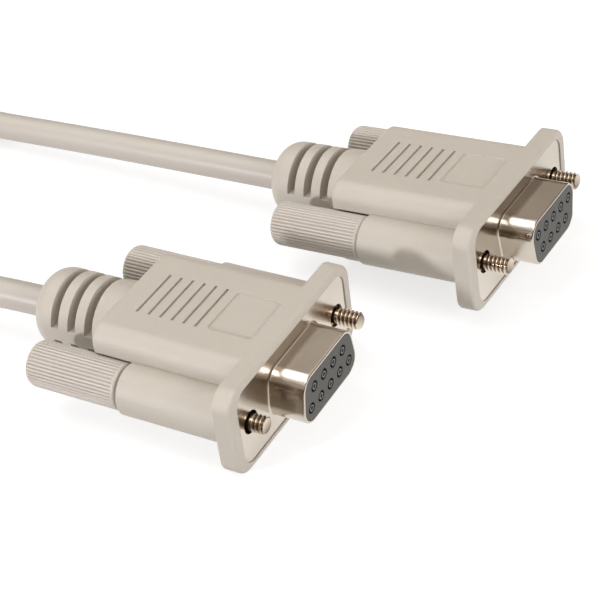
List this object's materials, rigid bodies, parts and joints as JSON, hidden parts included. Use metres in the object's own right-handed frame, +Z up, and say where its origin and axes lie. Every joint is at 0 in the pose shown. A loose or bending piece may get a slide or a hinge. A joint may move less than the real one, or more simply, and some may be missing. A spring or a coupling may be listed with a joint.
{
  "type": "serial cable",
  "caption": "Serial cable with a moulded D-shaped socket plug at each end, thumbscrews that turn and slide, slotted strain-relief boots, and its middle wound into a coil.",
  "frame": {"origin": "on the surface that the cable lies on, under the middle of the box round the two plugs", "axes": "+X is the way plug A's socket faces, +Y goes from plug A towards plug B, +Z is up"},
  "size_m": [0.1966, 0.0811, 0.0163],
  "materials": {
    "hood_plastic": "warm light grey vinyl, moulded, satin",
    "nickel_shell": "nickel plated sheet, bright",
    "insulator_plastic": "dark grey moulded, matte",
    "inner_plastic": "natural, hidden",
    "wire_insulation": "hidden",
    "contact_metal": "gold flashed",
    "screw_steel": "nickel plated steel",
    "cord_jacket": "warm light grey vinyl, satin"
  },
  "bodies": {
    "cable": {"plug_a_hood": "hood_plastic", "plug_a_front_shell": "nickel_shell", "plug_a_rear_shell": "nickel_shell", "plug_a_front_insulator": "insulator_plastic", "plug_a_rear_insulator": "insulator_plastic", "plug_a_inner_mould": "inner_plastic", "plug_a_wire_bundle": "wire_insulation", "plug_a_jacket_end": "cord_jacket", "plug_a_contact_1": "contact_metal", "plug_a_contact_2": "contact_metal", "plug_a_contact_3": "contact_metal", "plug_a_contact_4": "contact_metal", "plug_a_contact_5": "contact_metal", "plug_a_contact_6": "contact_metal", "plug_a_contact_7": "contact_metal", "plug_a_contact_8": "contact_metal", "plug_a_contact_9": "contact_metal", "plug_b_hood": "hood_plastic", "plug_b_front_shell": "nickel_shell", "plug_b_rear_shell": "nickel_shell", "plug_b_front_insulator": "insulator_plastic", "plug_b_rear_insulator": "insulator_plastic", "plug_b_inner_mould": "inner_plastic", "plug_b_wire_bundle": "wire_insulation", "plug_b_jacket_end": "cord_jacket", "plug_b_contact_1": "contact_metal", "plug_b_contact_2": "contact_metal", "plug_b_contact_3": "contact_metal", "plug_b_contact_4": "contact_metal", "plug_b_contact_5": "contact_metal", "plug_b_contact_6": "contact_metal", "plug_b_contact_7": "contact_metal", "plug_b_contact_8": "contact_metal", "plug_b_contact_9": "contact_metal", "cord_run_a": "cord_jacket", "cord_run_b": "cord_jacket", "cord_coil": "cord_jacket"},
    "plug_a_left_ring": {"plug_a_left_retaining_ring": "screw_steel"},
    "plug_a_left_thumbscrew": {"plug_a_left_screw": "screw_steel", "plug_a_left_screw_head": "hood_plastic"},
    "plug_a_right_ring": {"plug_a_right_retaining_ring": "screw_steel"},
    "plug_a_right_thumbscrew": {"plug_a_right_screw": "screw_steel", "plug_a_right_screw_head": "hood_plastic"},
    "plug_b_left_ring": {"plug_b_left_retaining_ring": "screw_steel"},
    "plug_b_left_thumbscrew": {"plug_b_left_screw": "screw_steel", "plug_b_left_screw_head": "hood_plastic"},
    "plug_b_right_ring": {"plug_b_right_retaining_ring": "screw_steel"},
    "plug_b_right_thumbscrew": {"plug_b_right_screw": "screw_steel", "plug_b_right_screw_head": "hood_plastic"}
  },
  "joints": [
    {"name": "plug_a_left_screw_slide", "type": "slide", "parent": "cable", "child": "plug_a_left_ring", "axis": [-1, 0, 0], "range_m": [0, 0.005]},
    {"name": "plug_a_left_screw_turn", "type": "hinge", "parent": "plug_a_left_ring", "child": "plug_a_left_thumbscrew", "pos_m": [0.0081, -0.00869, 0.0072], "axis": [1, 0, 0], "continuous": true},
    {"name": "plug_a_right_screw_slide", "type": "slide", "parent": "cable", "child": "plug_a_right_ring", "axis": [-1, 0, 0], "range_m": [-0.0003, 0.0047]},
    {"name": "plug_a_right_screw_turn", "type": "hinge", "parent": "plug_a_right_ring", "child": "plug_a_right_thumbscrew", "pos_m": [0.0081, -0.03367, 0.0072], "axis": [1, 0, 0], "continuous": true},
    {"name": "plug_b_left_screw_slide", "type": "slide", "parent": "cable", "child": "plug_b_left_ring", "axis": [-0.9986, 0.0218, -0.0483], "range_m": [0, 0.005]},
    {"name": "plug_b_left_screw_turn", "type": "hinge", "parent": "plug_b_left_ring", "child": "plug_b_left_thumbscrew", "pos_m": [0.02412, 0.00854, 0.00897], "axis": [0.9986, -0.0218, 0.0483], "continuous": true},
    {"name": "plug_b_right_screw_slide", "type": "slide", "parent": "cable", "child": "plug_b_right_ring", "axis": [-0.9986, 0.0218, -0.0483], "range_m": [0, 0.005]},
    {"name": "plug_b_right_screw_turn", "type": "hinge", "parent": "plug_b_right_ring", "child": "plug_b_right_thumbscrew", "pos_m": [0.0247, 0.03352, 0.00823], "axis": [0.9986, -0.0218, 0.0483], "continuous": true}
  ]
}
